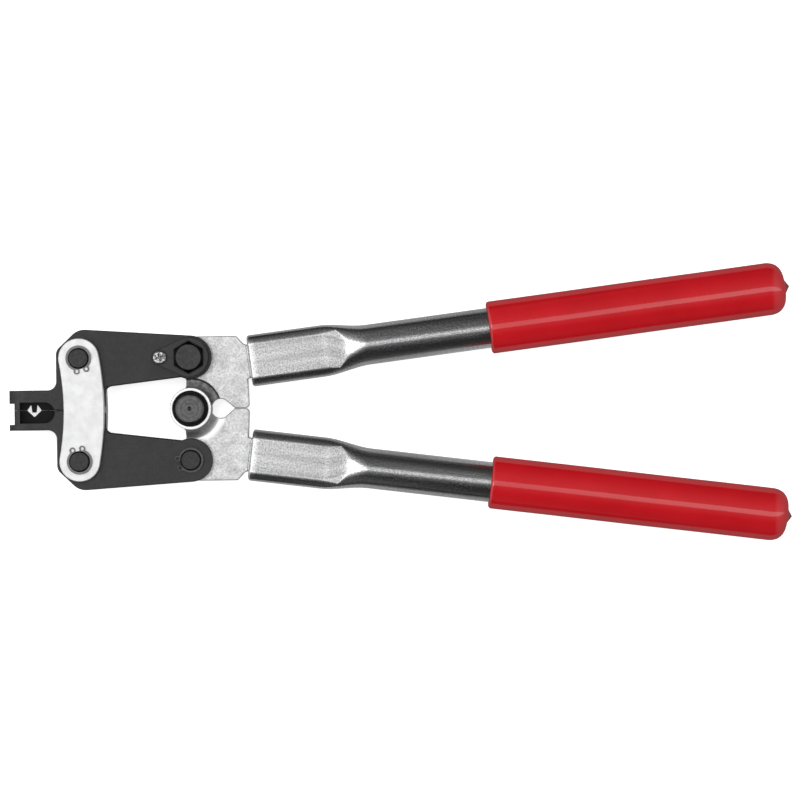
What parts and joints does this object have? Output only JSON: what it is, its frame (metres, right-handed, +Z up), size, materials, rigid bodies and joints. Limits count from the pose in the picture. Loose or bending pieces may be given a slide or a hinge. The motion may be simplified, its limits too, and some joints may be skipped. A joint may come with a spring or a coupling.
{
  "type": "compound lever hand seamer and crimping tool",
  "caption": "Compound-lever hand crimping tool: bowed link plates, hinged black jaws with a narrow crimping nose, plated tube handles with red dipped grips.",
  "frame": {"origin": "the middle of the crimping mouth, on the plane where the closed jaws meet, at mid-thickness", "axes": "+X runs back along the closed tool to the handles, +Y across it to the upper handle, +Z up from the flat tool, parallel to every pivot"},
  "size_m": [0.4496, 0.1598, 0.0312],
  "materials": {
    "jaw_black": "satin black phosphate",
    "link_zinc": "bright zinc plate, satin",
    "lever_zinc": "zinc plated forging, fine grain",
    "tube_plate": "bright nickel-chrome plated tube",
    "grip_red": "gloss dipped vinyl",
    "pin_steel": "dark oiled steel, turned ends",
    "ring_steel": "spring steel",
    "ring_black": "blackened spring steel",
    "bolt_black": "black oxide",
    "washer_black": "black oxide",
    "screw_zinc": "bright zinc"
  },
  "bodies": {
    "links": {"link_plate_front": "link_zinc", "link_plate_back": "link_zinc", "link_pin_upper": "pin_steel", "link_pin_lower": "pin_steel", "link_ring_upper_front": "ring_steel", "link_ring_upper_back": "ring_steel", "link_ring_lower_front": "ring_steel", "link_ring_lower_back": "ring_steel"},
    "jaw_upper": {"jaw_upper": "jaw_black", "eccentric_pin": "pin_steel", "eccentric_pin_ring": "ring_black", "lock_plate": "washer_black", "lock_screw": "screw_zinc"},
    "jaw_lower": {"jaw_lower": "jaw_black", "jaw_pin_lower": "pin_steel", "jaw_pin_ring_front": "ring_black", "jaw_pin_ring_back": "ring_black"},
    "pivot": {"pivot_bolt": "bolt_black", "pivot_washer_front": "washer_black", "pivot_washer_back": "washer_black", "pivot_nut": "bolt_black"},
    "handle_upper": {"lever_upper": "lever_zinc", "tube_upper": "tube_plate", "grip_upper": "grip_red"},
    "handle_lower": {"lever_lower": "lever_zinc", "tube_lower": "tube_plate", "grip_lower": "grip_red"}
  },
  "joints": [
    {"name": "handle_upper_hinge", "type": "hinge", "parent": "pivot", "child": "handle_upper", "pos_m": [0.0903, 0, 0], "axis": [0, 0, 1], "range_deg": [0, 45]},
    {"name": "handle_lower_hinge", "type": "hinge", "parent": "pivot", "child": "handle_lower", "pos_m": [0.0903, 0, 0], "axis": [0, 0, 1], "range_deg": [-45, 0]},
    {"name": "pivot_slide", "type": "slide", "parent": "links", "child": "pivot", "axis": [1, 0, 0], "range_m": [0, 0.02027]},
    {"name": "jaw_upper_hinge", "type": "hinge", "parent": "links", "child": "jaw_upper", "pos_m": [0.027, 0.0295, 0], "axis": [0, 0, 1], "range_deg": [-7.85, 0]},
    {"name": "jaw_lower_hinge", "type": "hinge", "parent": "links", "child": "jaw_lower", "pos_m": [0.027, -0.0295, 0], "axis": [0, 0, 1], "range_deg": [0, 7.85]}
  ],
  "couplings": [
    {"joint": "handle_lower_hinge", "follows": "handle_upper_hinge", "ratio": -1},
    {"joint": "pivot_slide", "follows": "handle_upper_hinge", "m_per_rad": 0.025805},
    {"joint": "jaw_upper_hinge", "follows": "handle_upper_hinge", "ratio": -0.17434},
    {"joint": "jaw_lower_hinge", "follows": "handle_upper_hinge", "ratio": 0.17434}
  ]
}
